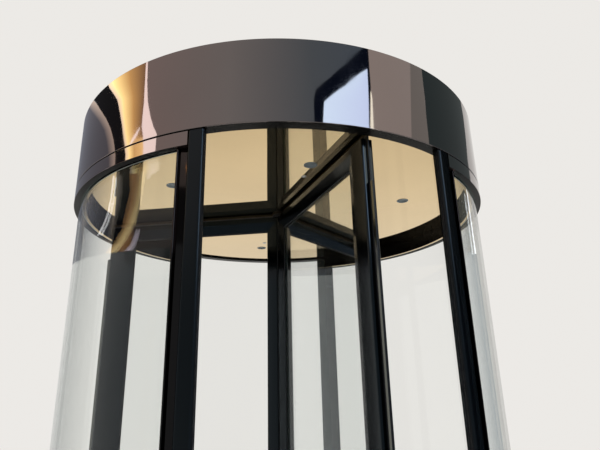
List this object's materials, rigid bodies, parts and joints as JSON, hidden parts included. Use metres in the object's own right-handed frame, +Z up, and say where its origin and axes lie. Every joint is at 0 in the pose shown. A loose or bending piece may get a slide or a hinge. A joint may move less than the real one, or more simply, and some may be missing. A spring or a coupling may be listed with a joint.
{
  "type": "revolving door",
  "caption": "Round glazed revolving door: curved glass side walls, dark mirror frames and canopy band, champagne mirror soffit with downlights, and a turning rotor of framed glass leaves.",
  "frame": {"origin": "on the floor at the rotor's turning axis, level with the underside of the floor ring", "axes": "+Z up along the turning axis, front entrance towards -Y, rear entrance towards +Y, +X to the right of someone who faces the front entrance"},
  "size_m": [2.1, 2.1, 2.807],
  "materials": {
    "canopy_black": "black mirror polish",
    "drum_black": "black mirror polish",
    "leaf_black": "black mirror polish",
    "clear_glass": "clear, green edges",
    "seal_rubber": "matte",
    "soffit_champagne": "champagne mirror",
    "roof_paint": "satin",
    "light_face": "frosted",
    "sensor_face": "gloss",
    "floor_steel": "brushed",
    "bearing_steel": "turned"
  },
  "bodies": {
    "drum": {"base_rail_left": "drum_black", "base_rail_right": "drum_black", "downlights": "light_face", "end_profiles": "drum_black", "fascia": "canopy_black", "floor_bearing": "bearing_steel", "floor_ring": "floor_steel", "header_left": "drum_black", "header_right": "drum_black", "lip_ring": "canopy_black", "post_front_left": "drum_black", "post_front_right": "drum_black", "post_rear_left": "drum_black", "post_rear_right": "drum_black", "post_seals": "seal_rubber", "roof": "roof_paint", "sensors": "sensor_face", "side_glass_left_front": "clear_glass", "side_glass_left_rear": "clear_glass", "side_glass_right_front": "clear_glass", "side_glass_right_rear": "clear_glass", "soffit": "soffit_champagne", "top_bearing": "bearing_steel"},
    "rotor": {"core": "leaf_black", "leaf_a_bottom_rail": "leaf_black", "leaf_a_edge_seal": "seal_rubber", "leaf_a_glass": "clear_glass", "leaf_a_inner_stile": "leaf_black", "leaf_a_outer_stile": "leaf_black", "leaf_a_rail_seals": "seal_rubber", "leaf_a_top_rail": "leaf_black", "leaf_b_bottom_rail": "leaf_black", "leaf_b_edge_seal": "seal_rubber", "leaf_b_glass": "clear_glass", "leaf_b_inner_stile": "leaf_black", "leaf_b_outer_stile": "leaf_black", "leaf_b_rail_seals": "seal_rubber", "leaf_b_top_rail": "leaf_black", "leaf_c_bottom_rail": "leaf_black", "leaf_c_edge_seal": "seal_rubber", "leaf_c_glass": "clear_glass", "leaf_c_inner_stile": "leaf_black", "leaf_c_outer_stile": "leaf_black", "leaf_c_rail_seals": "seal_rubber", "leaf_c_top_rail": "leaf_black"}
  },
  "joints": [
    {"name": "rotor_spin", "type": "hinge", "parent": "drum", "child": "rotor", "pos_m": [0, 0, 0], "axis": [0, 0, 1], "continuous": true}
  ]
}
